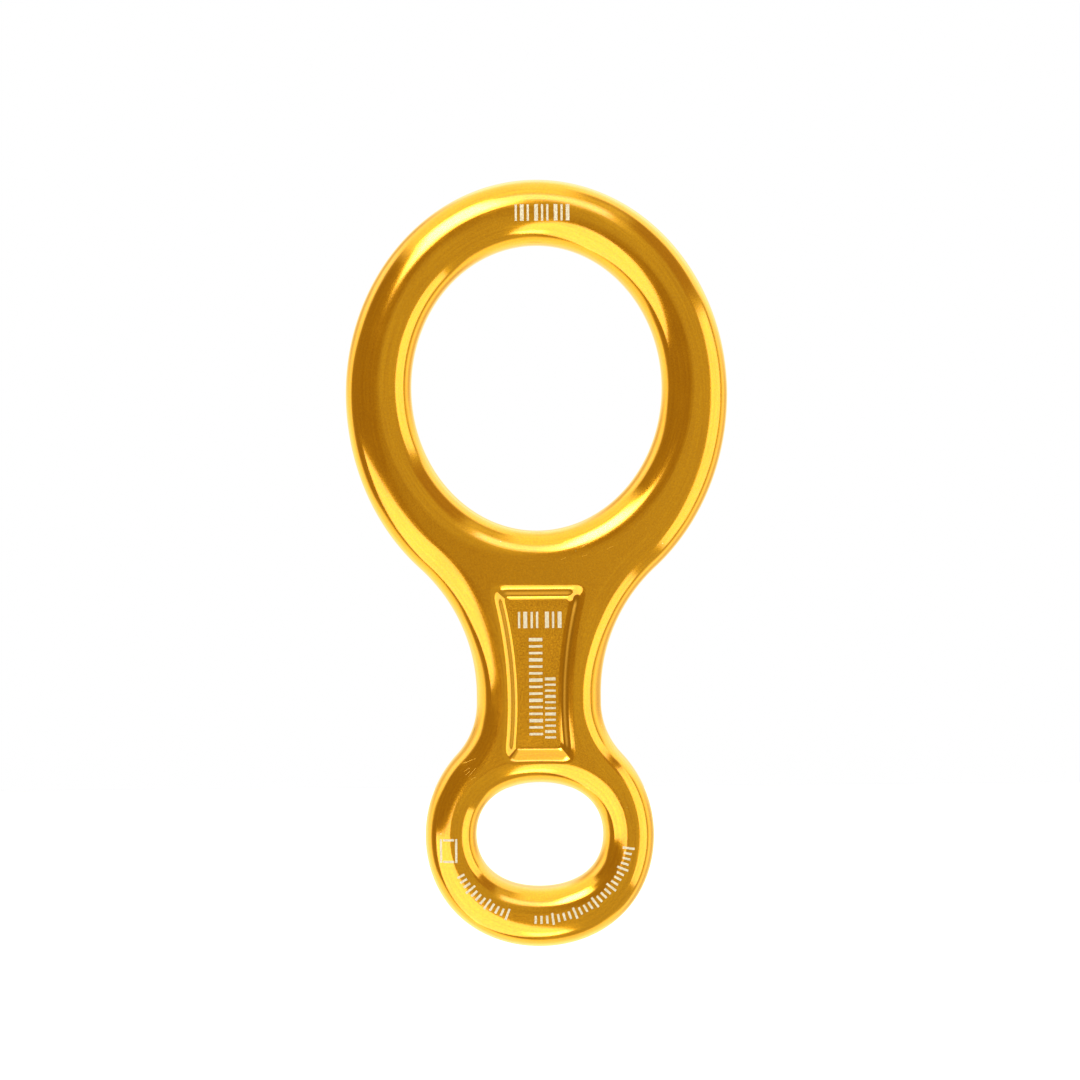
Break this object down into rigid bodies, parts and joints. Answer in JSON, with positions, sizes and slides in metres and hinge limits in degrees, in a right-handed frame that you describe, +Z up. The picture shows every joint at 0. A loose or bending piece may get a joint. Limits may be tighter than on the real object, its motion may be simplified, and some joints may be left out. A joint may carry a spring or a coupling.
{
  "type": "rope descender",
  "caption": "Figure-of-eight rope descender: large rope ring, waisted neck with sunk panels and a small harness eye, forged in gold anodised aluminium.",
  "frame": {"origin": "seat at the top of the large ring's hole, at mid thickness, where a rope, hook or gear loop holds the descender up", "axes": "+Z up the long axis from the small eye to the large ring, -Y out of the front face, +X across the width"},
  "size_m": [0.0682, 0.011, 0.137],
  "materials": {
    "anodised_aluminium": "polished, gold anodised"
  },
  "bodies": {
    "root": {"descender_body": "anodised_aluminium"}
  },
  "joints": []
}
